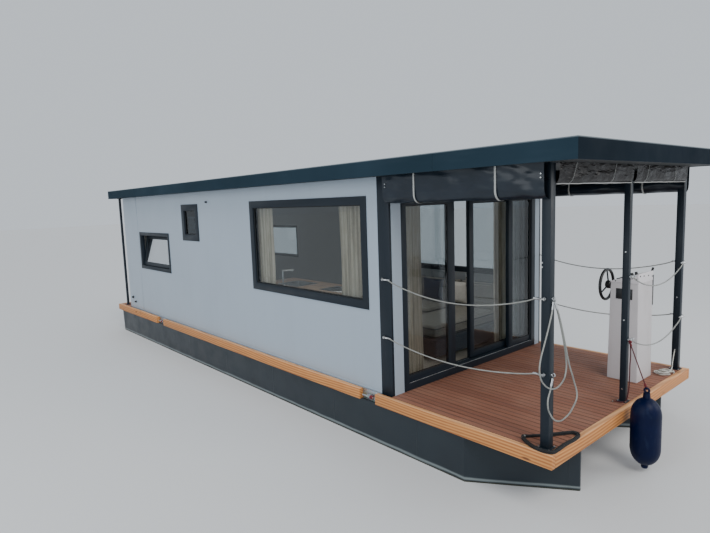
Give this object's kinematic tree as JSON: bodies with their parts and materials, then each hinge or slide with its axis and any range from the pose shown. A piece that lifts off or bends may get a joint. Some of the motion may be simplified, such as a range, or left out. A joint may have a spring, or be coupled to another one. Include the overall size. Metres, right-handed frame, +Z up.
{
  "type": "houseboat",
  "caption": "Houseboat with a flat-roofed cabin and a covered bow terrace on two box pontoons, with an outboard motor.",
  "frame": {"origin": "under the middle of the boat, on the plane of the flat pontoon bottoms", "axes": "+X towards the bow, +Y to port, +Z up"},
  "size_m": [10.857, 3.2, 3.243],
  "materials": {
    "hull_paint": "satin",
    "frame_steel": "satin",
    "timber": "oiled",
    "deck_boards": "brushed grooves",
    "wall_panel": "satin",
    "anthracite": "satin",
    "window_frame": "satin",
    "clear_glass": "polished",
    "cabin_floor": "lacquered",
    "console_grp": "speckled",
    "wheel_rubber": "satin",
    "tarp_film": "glossy film",
    "rope": "braided",
    "black_rope": "braided",
    "fender_vinyl": "satin",
    "motor_paint": "gloss",
    "propeller_alloy": "cast",
    "sofa_cloth": "woven",
    "linen": "woven",
    "navy_cloth": "woven",
    "white_cloth": "woven",
    "galley_wood": "lacquered"
  },
  "bodies": {
    "boat": {"pontoon_starboard": "hull_paint", "pontoon_port": "hull_paint", "deck_frame": "frame_steel", "terrace_deck": "deck_boards", "aft_deck": "deck_boards", "rail_starboard": "timber", "rail_port": "timber", "rail_bow": "timber", "rail_stern": "timber", "window_large_starboard": "window_frame", "window_small_starboard": "window_frame", "window_tilt_frame": "window_frame", "window_tilt_sash": "window_frame", "window_large_port": "window_frame", "window_aft_port": "window_frame", "wall_starboard": "wall_panel", "wall_port": "wall_panel", "wall_fore": "wall_panel", "wall_aft": "wall_panel", "corner_post_starboard": "anthracite", "corner_post_port": "anthracite", "cabin_floor": "cabin_floor", "roof_panel": "anthracite", "roof_fascia": "anthracite", "slide_frame": "window_frame", "post_starboard": "anthracite", "post_middle": "anthracite", "post_port": "anthracite", "pole_starboard": "anthracite", "pole_port": "anthracite", "helm_console": "console_grp", "tarp_starboard": "tarp_film", "tarp_port": "tarp_film", "tarp_bow_starboard": "tarp_film", "tarp_bow_port": "tarp_film", "rope_starboard_upper": "rope", "rope_starboard_lower": "rope", "rope_port_upper": "rope", "rope_port_lower": "rope", "rope_bow_upper": "rope", "rope_bow_lower": "rope", "rope_gate_upper": "rope", "rope_gate_lower": "rope", "rope_coil_black": "black_rope", "rope_coil_white": "rope", "fender": "fender_vinyl", "motor_bracket": "frame_steel", "sofa_seat": "sofa_cloth", "sofa_back": "sofa_cloth", "pillow_navy": "navy_cloth", "pillow_white": "white_cloth", "galley": "galley_wood", "curtains_starboard": "linen", "curtains_door": "linen"},
    "door_leaf": {"slide_leaf": "window_frame"},
    "aft_door": {"aft_door": "wall_panel"},
    "helm": {"steering_wheel": "wheel_rubber"},
    "motor_tilt": {"motor_swivel": "motor_paint"},
    "motor_steer": {"outboard_motor": "motor_paint"},
    "propeller": {"propeller": "propeller_alloy"}
  },
  "joints": [
    {"name": "door_slide", "type": "slide", "parent": "boat", "child": "door_leaf", "axis": [0, -1, 0], "range_m": [0, 1.151]},
    {"name": "aft_door_swing", "type": "hinge", "parent": "boat", "child": "aft_door", "pos_m": [-4.0275, 0.328, 1.87], "axis": [0, 0, 1], "range_deg": [0, 95]},
    {"name": "helm_turn", "type": "hinge", "parent": "boat", "child": "helm", "pos_m": [4.5295, 0.791, 1.853], "axis": [1, 0, 0], "range_deg": [-540, 540]},
    {"name": "motor_tilt", "type": "hinge", "parent": "boat", "child": "motor_tilt", "pos_m": [-4.9915, 0, 0.822], "axis": [0, 1, 0], "range_deg": [0, 65]},
    {"name": "motor_steer", "type": "hinge", "parent": "motor_tilt", "child": "motor_steer", "pos_m": [-5.0615, 0, 0.65], "axis": [0, 0, 1], "range_deg": [-30, 30]},
    {"name": "propeller_spin", "type": "hinge", "parent": "motor_steer", "child": "propeller", "pos_m": [-5.3895, 0, 0.155], "axis": [1, 0, 0], "continuous": true}
  ],
  "couplings": [
    {"joint": "helm_turn", "follows": "motor_steer", "ratio": 18}
  ]
}
